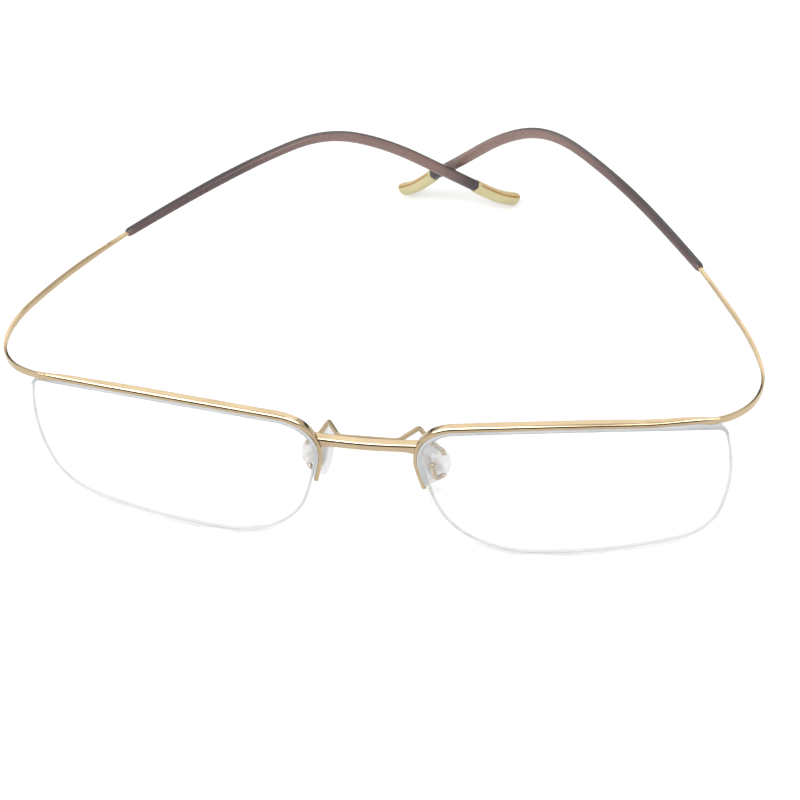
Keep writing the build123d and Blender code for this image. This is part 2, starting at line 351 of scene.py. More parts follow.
def ramp(nt, fac, stops):
    r = node(nt, "ShaderNodeValToRGB")
    els = r.color_ramp.elements
    els[0].position, els[0].color = stops[0]
    els[1].position, els[1].color = stops[-1]
    for p, c in stops[1:-1]:
        e = els.new(p)
        e.color = c
    nt.links.new(fac, r.inputs["Fac"])
    return r


def to_range(nt, fac, a, b):
    r = node(nt, "ShaderNodeMapRange")
    r.inputs["From Min"].default_value = 0.3
    r.inputs["From Max"].default_value = 0.7
    r.inputs["To Min"].default_value = a
    r.inputs["To Max"].default_value = b
    nt.links.new(fac, r.inputs["Value"])
    return r


def bump(nt, bsdf, height, strength, distance):
    b = node(nt, "ShaderNodeBump")
    b.inputs["Strength"].default_value = strength
    b.inputs["Distance"].default_value = distance
    nt.links.new(height, b.inputs["Height"])
    nt.links.new(b.outputs["Normal"], bsdf.inputs["Normal"])
    return b


def gold_material(name, dark, light, r0, r1):
    m, nt, b = base_material(name, Metallic=1.0)
    big = noise(nt, 180.0, 4.0)
    nt.links.new(ramp(nt, big.outputs["Fac"], [(0.3, dark), (0.7, light)]).outputs["Color"], b.inputs["Base Color"])
    fine = noise(nt, 900.0, 2.0, 0.5)
    nt.links.new(to_range(nt, fine.outputs["Fac"], r0, r1).outputs["Result"], b.inputs["Roughness"])
    bump(nt, b, fine.outputs["Fac"], 0.03, 0.00001)
    return m


MAT = {}
MAT["gold"] = gold_material("champagne_gold", lin((170, 151, 121)), lin((182, 163, 132)), 0.10, 0.17)
MAT["gold_strip"] = gold_material("champagne_gold_strip", lin((174, 154, 122)), lin((187, 167, 135)), 0.14, 0.22)

# clear lens: a weak even tint, hard gloss
m, nt, b = base_material("lens_clear", Roughness=0.02, IOR=1.5, Transmission_Weight=1.0, Alpha=0.16)
t = noise(nt, 9.0, 2.0)
nt.links.new(ramp(nt, t.outputs["Fac"], [(0.35, (0.985, 0.99, 0.992, 1)), (0.65, (0.995, 0.998, 1.0, 1))]).outputs["Color"], b.inputs["Base Color"])
r = noise(nt, 700.0, 2.0)
nt.links.new(to_range(nt, r.outputs["Fac"], 0.012, 0.03).outputs["Result"], b.inputs["Roughness"])
MAT["lens"] = m

# ground lens edge: frosted
m, nt, b = base_material("lens_edge", Roughness=0.45, IOR=1.5, Transmission_Weight=0.2, Alpha=0.2)
t = noise(nt, 260.0, 3.0, 0.6)
nt.links.new(ramp(nt, t.outputs["Fac"], [(0.3, lin((172, 175, 176))), (0.7, lin((188, 190, 190)))]).outputs["Color"], b.inputs["Base Color"])
nt.links.new(to_range(nt, t.outputs["Fac"], 0.36, 0.5).outputs["Result"], b.inputs["Roughness"])
MAT["edge"] = m

# nylon line
m, nt, b = base_material("nylon_line", Roughness=0.3, IOR=1.53, Subsurface_Weight=0.25)
b.inputs["Subsurface Radius"].default_value = (0.0006, 0.0006, 0.0006)
b.inputs["Subsurface Scale"].default_value = 1.0
t = noise(nt, 300.0, 3.0)
nt.links.new(ramp(nt, t.outputs["Fac"], [(0.3, lin((188, 189, 188))), (0.7, lin((200, 201, 200)))]).outputs["Color"], b.inputs["Base Color"])
nt.links.new(to_range(nt, t.outputs["Fac"], 0.24, 0.38).outputs["Result"], b.inputs["Roughness"])
MAT["nylon"] = m

# nylon liner strip under the eyewire
m, nt, b = base_material("nylon_liner", Roughness=0.4, IOR=1.53)
t = noise(nt, 240.0, 3.0)
nt.links.new(ramp(nt, t.outputs["Fac"], [(0.3, lin((168, 170, 171))), (0.7, lin((182, 184, 185)))]).outputs["Color"], b.inputs["Base Color"])
nt.links.new(to_range(nt, t.outputs["Fac"], 0.34, 0.5).outputs["Result"], b.inputs["Roughness"])
MAT["liner"] = m

# soft pad silicone and hard pad core
m, nt, b = base_material("pad_silicone", Roughness=0.34, IOR=1.41, Transmission_Weight=0.2, Alpha=0.5)
t = noise(nt, 300.0, 3.0)
nt.links.new(ramp(nt, t.outputs["Fac"], [(0.3, lin((208, 208, 212))), (0.7, lin((226, 226, 229)))]).outputs["Color"], b.inputs["Base Color"])
nt.links.new(to_range(nt, t.outputs["Fac"], 0.26, 0.42).outputs["Result"], b.inputs["Roughness"])
bump(nt, b, t.outputs["Fac"], 0.1, 0.00003)
MAT["silicone"] = m
m, nt, b = base_material("pad_core_clear", Roughness=0.2, IOR=1.49, Transmission_Weight=0.05)
t = noise(nt, 260.0, 3.0)
nt.links.new(ramp(nt, t.outputs["Fac"], [(0.3, lin((204, 205, 206))), (0.7, lin((218, 219, 220)))]).outputs["Color"], b.inputs["Base Color"])
nt.links.new(to_range(nt, t.outputs["Fac"], 0.14, 0.28).outputs["Result"], b.inputs["Roughness"])
MAT["core"] = m

# moulded brown sleeve: dark where the metal is inside, lighter beyond, with painted shade darkening and greying its
# upper-back side
m, nt, b = base_material("sleeve_brown", Roughness=0.3, IOR=1.45)
att = node(nt, "ShaderNodeAttribute", attribute_name="along")
body = ramp(nt, att.outputs["Fac"], [
    (0.0, lin((92, 74, 72))), (0.03, lin((78, 62, 62))), (0.30, lin((76, 60, 60))), (0.40, lin((102, 82, 77))),
    (0.55, lin((117, 95, 89))), (0.86, lin((114, 91, 84))), (0.935, lin((84, 68, 66))), (0.97, lin((58, 50, 52))), (1.0, lin((56, 48, 50)))])
# painted shade: faces turned up and back are darkened and greyed, the underside painted a little brighter
hi = node(nt, "ShaderNodeAttribute", attribute_name="upper")
shade = ramp(nt, hi.outputs["Fac"], [(0.0, (1.06, 1.06, 1.06, 1)), (0.4, (0.86, 0.9, 0.92, 1)), (0.8, (0.36, 0.46, 0.5, 1)), (1.0, (0.3, 0.4, 0.45, 1))])
t = noise(nt, 200.0, 3.0, 0.5)
var = ramp(nt, t.outputs["Fac"], [(0.3, (0.95, 0.95, 0.95, 1)), (0.7, (1.04, 1.03, 1.03, 1))])
mix = node(nt, "ShaderNodeMix", data_type="RGBA", blend_type="MULTIPLY")
mix.inputs["Factor"].default_value = 1.0
nt.links.new(body.outputs["Color"], mix.inputs["A"])
nt.links.new(var.outputs["Color"], mix.inputs["B"])
mix2 = node(nt, "ShaderNodeMix", data_type="RGBA", blend_type="MULTIPLY")
mix2.inputs["Factor"].default_value = 1.0
nt.links.new(mix.outputs["Result"], mix2.inputs["A"])
nt.links.new(shade.outputs["Color"], mix2.inputs["B"])
nt.links.new(mix2.outputs["Result"], b.inputs["Base Color"])
nt.links.new(to_range(nt, t.outputs["Fac"], 0.22, 0.32).outputs["Result"], b.inputs["Roughness"])
MAT["sleeve"] = m

# gold end cap, with painted shade along its upper side: darker amber in the groove, tan on the top
m, nt, b = base_material("cap_gold", Metallic=0.35, Roughness=0.34)
t = noise(nt, 160.0, 3.0)
nt.links.new(ramp(nt, t.outputs["Fac"], [(0.3, lin((182, 172, 128))), (0.7, lin((196, 187, 144)))]).outputs["Color"], b.inputs["Base Color"])
nt.links.new(to_range(nt, t.outputs["Fac"], 0.28, 0.4).outputs["Result"], b.inputs["Roughness"])
MAT["cap"] = m
# painted shade in the groove along the cap's upper flank
m, nt, b = base_material("cap_groove_painted_shade", Roughness=0.3, Metallic=0.2)
t = noise(nt, 300.0, 3.0)
nt.links.new(ramp(nt, t.outputs["Fac"], [(0.3, lin((150, 112, 58))), (0.7, lin((166, 130, 76)))]).outputs["Color"], b.inputs["Base Color"])
nt.links.new(to_range(nt, t.outputs["Fac"], 0.26, 0.38).outputs["Result"], b.inputs["Roughness"])
MAT["amber"] = m
# painted shade over the cap's top faces
m, nt, b = base_material("cap_top_painted_shade", Roughness=0.32, Metallic=0.3)
t = noise(nt, 200.0, 3.0)
nt.links.new(ramp(nt, t.outputs["Fac"], [(0.3, lin((186, 162, 116))), (0.7, lin((200, 178, 132)))]).outputs["Color"], b.inputs["Base Color"])
nt.links.new(to_range(nt, t.outputs["Fac"], 0.28, 0.38).outputs["Result"], b.inputs["Roughness"])
MAT["tan"] = m


# ---------------------------------------------------------------------------
# Half rims
# ---------------------------------------------------------------------------
def bevel_poly(pts, radii, seg=4):
    """Closed polygon with every corner rounded off by its own small radius."""
    P = [np.asarray(q, float) for q in pts]
    out = []
    for i, b in enumerate(P):
        a, c = P[i - 1], P[(i + 1) % len(P)]
        u = (a - b) / np.linalg.norm(a - b)
        v = (c - b) / np.linalg.norm(c - b)
        r = radii[i]
        p, q = b + u * r, b + v * r
        for t in np.linspace(0, 1, seg + 1):
            out.append((1 - t) ** 2 * p + 2 * t * (1 - t) * b + t * t * q)
    return np.array(out)


def rim_section(df, db, lo, hi, k):
    """Closed section of the brow bar. (d, e): d outward from the lens edge, e backward.
    Flat top, a bright bevel, a narrow undercut band and a low front face."""
    return bevel_poly(
        [(hi, db), (hi, -df + 0.31 * k), (hi - 0.20 * k, -df + 0.05 * k), (hi - 0.43 * k, -df - 0.06 * k), (lo, -df - 0.03 * k), (lo, db)],
        [0.14, 0.05, 0.035, 0.04, 0.08, 0.14])


def leg_section(r, d0, n):
    """Flat-sided nasal leg with the same number of points and a matching start."""
    a = np.radians(10) + np.linspace(0, 2 * math.pi, n, endpoint=False)
    x, y = np.sin(a), np.cos(a)
    p = 2 / 3.2
    return np.c_[d0 + r * 0.95 * np.sign(x) * np.abs(x) ** p, r * 1.15 * np.sign(y) * np.abs(y) ** p]


def make_rim(side, name):
    st = arc_points(4, HEAD_A, None, step=0.2)
    st += arc_points(5, None, None, step=0.18)
    st += arc_points(6, None, LEG_END_A, step=0.25)
    cu, cv, r, s, sw = LENS_ARCS[6]
    a = math.radians(LEG_END_A)
    st.append((cu + r * math.cos(a), cv + r * math.sin(a), math.cos(a), math.sin(a)))
    st = np.array(st)
    s = np.r_[0, np.cumsum(np.hypot(*np.diff(st[:, :2], axis=0).T))]
    total = s[-1]
    # how far through the corner each station is
    ang = np.degrees(np.arctan2(st[:, 3], st[:, 2])) % 360
    to_leg = smoothstep(ang, 122, 176)
    centres, AA, BB, secs = [], [], [], []
    n = len(rim_section(0.72, 0.7, 0.62, 1.55, 1.0))
    for i, (u, v, mu, mv) in enumerate(st):
        taper = smoothstep(u, 4.0, 21.5) if mv > 0.9 else 0.0     # 1 at the outer end
        thin = smoothstep(u, 17.5, 23.0) if mv > 0.9 else 0.0
        step = smoothstep(u, STEP_U - 0.12, STEP_U + 0.12) if mv > 0.9 else 0.0
        db = 0.70 - 0.40 * taper - 0.32 * thin
        df = 0.72 - 0.06 * taper
        lo = 0.62 - (0.14 if side > 0 else 0.22) * step
        sec_b = rim_section(df, db, lo, 1.55 - 0.03 * thin, 1.0 - 0.08 * taper - 0.52 * float(smoothstep(u, 19.5, 23.6) if mv > 0.9 else 0.0))
        sec_l = leg_section(0.40, 0.68, n)
        w = to_leg[i]
        sec = sec_b * (1 - w) + sec_l * w
        c0 = LP(side, u, v, 0.0)
        c1 = LP(side, u + mu, v + mv, 0.0)
        cb = LP(side, u, v, 1.0)
        A = (c1 - c0)
        A /= np.linalg.norm(A)
        B = (cb - c0)
        B /= np.linalg.norm(B)
        centres.append(W(c0))
        AA.append(A * 0.001)
        BB.append(B * 0.001)
        lift = (0.80 if side > 0 else 0.05) * smoothstep(u, 11.0, 23.4) if mv > 0.9 else 0.0
        secs.append(sec + np.array([lift, 0.0]))
    verts, faces = lathe_tube(np.array(centres), AA, BB, secs, cap0="flat", cap1=0.00022)
    ob = fix_normals(new_object(name, verts, faces, [MAT["gold"]], sharp=60))
    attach(ob, "front")
    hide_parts(name.replace("half_rim", "rim"))
    return ob


# ---------------------------------------------------------------------------
# Lenses, cords, liners
# ---------------------------------------------------------------------------
def full_outline():
    st = []
    for i in range(8):
        r = LENS_ARCS[i][2]
        st += arc_points(i, step=0.5 if r > 12 else 0.2)
    return np.array(st)


def make_lens(side, name, node_name):
    st = full_outline()
    m = len(st)
    verts, faces, fmat = [], [], []

    def ring_scaled(k, e):
        for u, v, mu, mv in st:
            p = LENS_C + (np.array([u, v]) - LENS_C) * k
            verts.append(W(LP(side, p[0], p[1], e)))

    def ring_off(d, e):
        for u, v, mu, mv in st:
            verts.append(W(LP(side, u + d * mu, v + d * mv, e)))

    rings = []
    ks = [0.04, 0.16, 0.3, 0.45, 0.6, 0.74, 0.86, 0.95]
    for k in ks:
        ring_scaled(k, -1.0)
        rings.append(0)
    for d, e, mt in ((-0.22, -1.0, 0), (-0.10, -0.97, 1), (-0.01, -0.88, 1), (0.0, -0.36, 1), (-0.06, -0.31, 1), (-0.42, -0.27, 1),
                     (-0.45, 0.0, 1), (-0.42, 0.27, 1), (-0.06, 0.31, 1), (0.0, 0.36, 1), (-0.01, 0.88, 1), (-0.10, 0.97, 1), (-0.22, 1.0, 1)):
        ring_off(d, e)
        rings.append(mt)
    for k in ks[::-1]:
        ring_scaled(k, 1.0)
        rings.append(0)
    nr = len(rings)
    for i in range(nr - 1):
        for k in range(m):
            l = (k + 1) % m
            faces.append((i * m + k, (i + 1) * m + k, (i + 1) * m + l, i * m + l))
            fmat.append(rings[i + 1])
    for e, i0, flip in ((-1.0, 0, False), (1.0, nr - 1, True)):
        verts.append(W(LP(side, LENS_C[0], LENS_C[1], e)))
        c = len(verts) - 1
        for k in range(m):
            l = (k + 1) % m
            f = (i0 * m + k, i0 * m + l, c)
            faces.append(f if not flip else f[::-1])
            fmat.append(0)
    ob = fix_normals(new_object(name, verts, faces, [MAT["lens"], MAT["edge"]], fmat, sharp=40))
    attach(ob, "front")
    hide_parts(node_name)
    return ob


def edge_run(side, stations, d, e=0.0):
    return np.array([W(LP(side, u + d * mu, v + d * mv, e)) for u, v, mu, mv in stations])


def make_cord(side, name, node_name):
    st = arc_points(6, LEG_END_A + 0.15, None, step=0.3) + arc_points(7, step=0.3) + arc_points(0, step=0.5)
    st += arc_points(1, step=0.25) + arc_points(2, step=0.4) + arc_points(3, step=0.12)
    st += arc_points(4, None, HEAD_A - 0.4, step=0.3)
    pts = edge_run(side, st, -0.20)
    A, B = frames_transport(pts)
    secs = [circle(0.00024, 14)] * len(pts)
    verts, faces = lathe_tube(pts, A, B, secs, cap0="flat", cap1="flat")
    ob = fix_normals(new_object(name, verts, faces, [MAT["nylon"]], sharp=50))
    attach(ob, "front")
    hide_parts(node_name)
    return ob


def make_liner(side, name, node_name):
    st = arc_points(3, step=0.12) + arc_points(4, step=0.3) + arc_points(5, step=0.25) + arc_points(6, None, LEG_END_A - 0.3, step=0.3)
    cs = [LP(side, u, v, 0) for u, v, _, _ in st]
    AA, BB, CC = [], [], []
    for (u, v, mu, mv), c0 in zip(st, cs):
        A = LP(side, u + mu, v + mv, 0) - c0
        B = LP(side, u, v, 1.0) - c0
        AA.append(A / np.linalg.norm(A) * 0.001)
        BB.append(B / np.linalg.norm(B) * 0.001)
        CC.append(W(c0))
    # rib in the lens groove, then the wide strip up to the eyewire
    secs = []
    for u, v, mu, mv in st:
        w = smoothstep(math.degrees(math.atan2(mv, mu)) % 360, 122, 176)
        hw = 0.66 * (1 - w) + 0.40 * w
        top = 0.63 * (1 - w) + 0.34 * w
        if mv > 0.9:
            top += (0.72 if side > 0 else -0.06) * smoothstep(u, 11.0, 23.0)
            hw -= 0.26 * smoothstep(u, 16.0, 22.0)
        corner = math.degrees(math.atan2(mv, mu)) % 360
        if corner < 85:
            fade = float(smoothstep(corner, 58.0, 80.0))
            top = 0.14 + (top - 0.14) * fade
            hw = 0.32 + (hw - 0.32) * fade
        secs.append(np.array([(-0.40, -0.22), (-0.40, 0.22), (-0.34, 0.29), (0.02, 0.29), (0.03, hw - 0.05), (0.08, hw),
                              (top - 0.03, hw), (top, hw - 0.03), (top, -hw + 0.03), (top - 0.03, -hw), (0.08, -hw), (0.03, -hw + 0.05),
                              (0.02, -0.29), (-0.34, -0.29)]))
    verts, faces = lathe_tube(np.array(CC), AA, BB, secs, cap0="flat", cap1="flat")
    ob = fix_normals(new_object(name, verts, faces, [MAT["liner"]], sharp=50))
    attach(ob, "front")
    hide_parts(node_name)
    return ob


# ---------------------------------------------------------------------------
# Bridge and pad arm wire
# ---------------------------------------------------------------------------
def make_bridge():
    ctrl = [(-9.45, -1.00, 8.98), (-5.4, -1.42, 9.10), (0, -1.72, 9.15), (5.4, -1.42, 9.10), (9.45, -1.00, 8.98)]
    pts = spline(ctrl, 110, smooth=0.8)
    s = arclen(pts)
    L = s[-1]
    A, B = frames_up(pts)
    secs = []
    for si in s:
        end = np.clip(1 - (min(si, L - si) - 0.7) / 3.4, 0, 1)
        flare = end ** 2.0
        # wide flat top, rounded front edge, lower front face
        top, bot, back, front = 0.82 + 0.10 * flare, -0.74 - 0.74 * flare, 0.80, -0.80 - 0.08 * flare
        pr = bevel_poly(
            [(back, top), (front + 0.24, top), (front + 0.05, top - 0.17), (front - 0.07, top - 0.47), (front, bot), (back - 0.3, bot), (back, bot + 0.5)],
            [0.2, 0.05, 0.04, 0.05, 0.22, 0.2, 0.2])
        secs.append(pr)
    pts_m = np.array([W(p) for p in pts])
    # A points forward when the run goes towards +X, so flip it: first axis is backward
    verts, faces = lathe_tube(pts_m, -A * 0.001, B * 0.001, secs, cap0="flat", cap1="flat")
    # solder fillets where the bar meets the eyewires
    for sgn in (-1, 1):
        c = np.array([sgn * 8.72, -1.66, 9.35])
        ring = []
        mm, rr = 20, 9
        for i in range(rr + 1):
            ph = -math.pi / 2 + math.pi * i / rr
            for k in range(mm):
                a = 2 * math.pi * k / mm
                ring.append(W(c + np.array([0.42 * math.cos(ph) * math.cos(a), 0.40 * math.cos(ph) * math.sin(a), 0.62 * math.sin(ph)])))
        o = len(verts)
        verts.extend(ring)
        for i in range(rr):
            for k in range(mm):
                j = (k + 1) % mm
                faces.append((o + i * mm + k, o + i * mm + j, o + (i + 1) * mm + j, o + (i + 1) * mm + k))
    ob = new_object("bridge_bar", verts, faces, [MAT["gold"]], sharp=45)
    weld(ob)
    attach(ob, "front")
    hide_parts("bridge")
    return ob


def make_wire():
    half = [(5.1, -0.30, 9.25), (7.85, 5.0, 7.95), (9.6, 5.2, 4.8), (12.0, 5.0, 3.0), (12.0, 5.0, -2.3), (10.55, 3.6, -2.2), (10.1, 3.4, 1.0)]
    rad = [1.6, 0.95, 2.2, 1.1, 0.75, 0.8]
    ctrl = [(-x, y, z) for x, y, z in half[::-1]] + half
    pts = rounded(ctrl, rad[::-1][:-1] + [1.6, 1.6] + rad[1:], 460)
    A, B = frames_transport(pts)
    s = arclen(pts)
    L = s[-1]
    secs = []
    for si in s:
        end = min(si, L - si)
        r = 0.44
        secs.append(circle(r, 18))
    pts_m = np.array([W(p) for p in pts])
    verts, faces = lathe_tube(pts_m, A * 0.001, B * 0.001, secs, cap0=0.0003, cap1=0.0003)
    # ball ends, as rounded beads on the wire
    for p, q in ((pts[0], pts[3]), (pts[-1], pts[-4])):
        t = (p - q) / np.linalg.norm(p - q)
        line = np.array([p + t * k for k in np.linspace(-0.58, 0.58, 15)])
        a, bb = frames_transport(line)
        rad = [math.sqrt(max(0.0, 0.6 ** 2 - k * k)) for k in np.linspace(-0.58, 0.58, 15)]
        v2, f2 = lathe_tube(np.array([W(x) for x in line]), a * 0.001, bb * 0.001, [circle(r, 18) for r in rad], cap0="flat", cap1="flat")
        o = len(verts)
        verts.extend(v2)
        faces.extend([tuple(i + o for i in f) for f in f2])
    ob = fix_normals(new_object("pad_arm_loop", verts, faces, [MAT["gold"]], sharp=50))
    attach(ob, "front")
    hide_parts("pad_arm_wire")
    return ob


# ---------------------------------------------------------------------------
# Nose pads
# ---------------------------------------------------------------------------
def pad_axes(side):
    n = np.array([-0.856, 0.453, -0.252])
    n /= np.linalg.norm(n)
    l = np.array([-0.223, 0.118, 0.967])
    l -= n * l.dot(n)
    l /= np.linalg.norm(l)
    w = np.cross(l, n)
    f = np.array([side, 1, 1])
    return n * f, l * f, w * f


def make_pad(side, name):
    n, l, w = pad_axes(side)
    c = np.array([9.2 * side, 6.2, 0.2])
    body = ("left" if side > 0 else "right") + "_nose_pad"
    # cushion: crowned oval, egg-shaped, thicker in the middle
    verts, faces = [], []
    m, rings = 56, 22
    for i in range(rings + 1):
        ph = -math.pi / 2 + math.pi * i / rings
        for k in range(m):
            a = 2 * math.pi * k / m
            ce, se = math.cos(a), math.sin(a)
            egg = 1 + 0.06 * (-ce)              # fuller at the lower end
            rl = 4.85 * abs(math.cos(ph)) ** 0.55
            rw = 2.80 * egg * abs(math.cos(ph)) ** 0.55
            x = rl * np.sign(ce) * abs(ce) ** 0.92
            y = rw * np.sign(se) * abs(se) ** 0.92
            h = math.sin(ph)
            z = 0.98 * np.sign(h) * abs(h) ** 0.8
            if z > 0:
                z *= 1.0 - 0.10 * (x / 4.9) ** 2 - 0.05 * (y / 2.9) ** 2
            # gentle lengthwise curve of the contact face
            z += 0.12 * (x / 4.9) ** 2 - 0.06
            verts.append(W(c + l * x + w * y + n * z))
    for i in range(rings):
        for k in range(m):
            j = (k + 1) % m
            faces.append((i * m + k, i * m + j, (i + 1) * m + j, (i + 1) * m + k))
    ob = new_object(name + "_soft", verts, faces, [MAT["silicone"]], sharp=None)
    import bmesh
    bm = bmesh.new()
    bm.from_mesh(ob.data)
    bmesh.ops.remove_doubles(bm, verts=bm.verts, dist=2e-6)
    bmesh.ops.recalc_face_normals(bm, faces=bm.faces)
    bm.to_mesh(ob.data)
    bm.free()
    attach(ob, body)
    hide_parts(name + "_cushion")
    # core: a D-shaped boss, rounded all over, with the bore for the arm through it
    verts, faces = [], []
    bx, by = 12.0 * side, 5.0
    out = np.array([0.919 * side, -0.394, 0.0])
    thk = np.array([0.394 * side, 0.919, 0.0])
    tc = np.array([11.08 * side, 5.39, 0.6])
    zz = np.array([0.0, 0.0, 1.0])
    mm, rings2 = 44, 12
    for i in range(rings2 + 1):
        ph = -math.pi / 2 + math.pi * i / rings2
        for k in range(mm):
            a = 2 * math.pi * k / mm
            ca, sa = math.cos(a), math.sin(a)
            f = abs(math.cos(ph)) ** 0.4
            x = (2.1 * ca if ca > 0 else 0.35 * ca) * f
            z = 2.12 * np.sign(sa) * abs(sa) ** 0.9 * f
            y = 0.98 * np.sign(math.sin(ph)) * abs(math.sin(ph)) ** 0.7
            verts.append(W(tc + out * x + zz * z + thk * y))
    for i in range(rings2):
        for k in range(mm):
            e = (k + 1) % mm
            faces.append((i * mm + k, i * mm + e, (i + 1) * mm + e, (i + 1) * mm + k))
    # collars round the arm, above and below the boss
    for z0, z1 in ((1.7, 2.5), (-1.3, -0.7)):
        ring = [W((bx, by, z)) for z in np.linspace(z0, z1, 5)]
        v2, f2 = lathe_tube(np.array(ring), [np.array([0.001, 0, 0])] * 5, [np.array([0, 0.001, 0])] * 5,
                            [circle(r, 24) for r in (0.72, 0.85, 0.88, 0.85, 0.68)], cap0="flat", cap1="flat")
        o = len(verts)
        verts.extend(v2)
        faces.extend([tuple(i + o for i in f) for f in f2])
    # neck: lofted from the plate to the barrel wall
    target = np.array([bx - 0.5 * side, by + 0.2, 0.6])
    line = [c - n * t for t in (0.35, 0.75, 1.15)]
    near = target - (target - c) / np.linalg.norm(target - c) * 0.72
    line += [c * 0.4 + near * 0.6 - n * 0.1, near]
    line = np.array(line)
    neck = spline([line[0], line[1], line[3], line[4]], 14)
    A = [l] * len(neck)
    B = [w] * len(neck)
    secs = [circle(1.45 - 0.45 * t, 20, 0.85 - 0.25 * t) * np.array([1, 1]) for t in smoothstep(np.linspace(0, 1, len(neck)), 0, 1)]
    v2, f2 = lathe_tube(np.array([W(p) for p in neck]), np.array(A) * 0.001, np.array(B) * 0.001, secs, cap0="flat", cap1="flat")
    o = len(verts)
    verts.extend(v2)
    faces.extend([tuple(i + o for i in f) for f in f2])
    # plate
    layers = [(0.62, 0.90), (0.60, 1.0), (0.0, 1.0), (-0.06, 0.94)]
    line = np.array([c - n * (0.62 - k * 0.12) for k in range(6)])
    scale = [0.9, 1.0, 1.0, 1.0, 1.0, 0.9]
    secs = [circle(3.3 * s, 40, 1.8 * s) for s in scale]
    v2, f2 = lathe_tube(np.array([W(p) for p in line]), np.array([l] * 6) * 0.001, np.array([w] * 6) * 0.001, secs, cap0="flat", cap1="flat")
    o = len(verts)
    verts.extend(v2)
    faces.extend([tuple(i + o for i in f) for f in f2])
    ob = weld(new_object(name + "_boss", verts, faces, [MAT["core"]], sharp=50))
    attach(ob, body)
    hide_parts(name + "_core")


# ---------------------------------------------------------------------------
# Temples
# ---------------------------------------------------------------------------
ARM = {
    -1: [(58.4, 4.36, 14.15), (61.05, 5.49, 13.85), (63.79, 7.17, 13.5), (65.43, 9.2, 13.3), (66.73, 11.44, 13.2), (67.27, 14.36, 13.2), (67.46, 17.21, 13.2), (67.07, 20.15, 13.2), (66.38, 23.16, 13.2), (65.15, 26.24, 13.2), (63.9, 29.37, 13.2), (62.43, 32.56, 13.2), (60.86, 35.79, 13.2), (59.1, 39.07, 13.2), (57.19, 42.4, 13.2), (53.7, 48.1, 13.25)],
    1: [(58.36, 4.56, 14.85), (60.57, 6.12, 14.5), (62.87, 9.05, 14.05), (64.21, 11.78, 13.65), (65.1, 15.3, 13.35), (65.18, 18.85, 13.2), (64.08, 23.67, 13.2), (62.45, 28.49, 13.2), (60.05, 33.91, 13.2), (57.2, 39.4, 13.2), (54.28, 45.01, 13.2), (52.6, 48.3, 13.25)],
}
SLEEVE = {
    -1: [(53.7, 48.1, 13.2), (44.4, 60.2, 14.0), (32.3, 71.9, 15.8), (21.6, 80.3, 16.7), (11.3, 88.0, 9.6), (0.7, 95.8, -1.8), (-4.5, 99.6, -7.4)],
    1: [(52.6, 48.3, 13.2), (43.6, 62.1, 14.0), (33.5, 73.7, 15.7), (22.3, 84.1, 17.1), (12.2, 91.8, 10.9), (-0.2, 99.9, -3.0), (-4.5, 102.5, -7.2)],
}
TIP = {-1: (-11.9, 105.9, -15.46), 1: (-11.9, 107.2, -15.53)}
FLEX = (65.4, 12.4, 13.2)


def own(side, pts):
    return [(side * x, y, z) for x, y, z in pts]


def bar_centre(side, u, d=0.8, e=-0.02):
    cu, cv, r, s, sw = LENS_ARCS[4]
    a = math.acos((u - cu) / r)
    v = cv + r * math.sin(a)
    return LP(side, u + d * math.cos(a), v + d * math.sin(a), e)


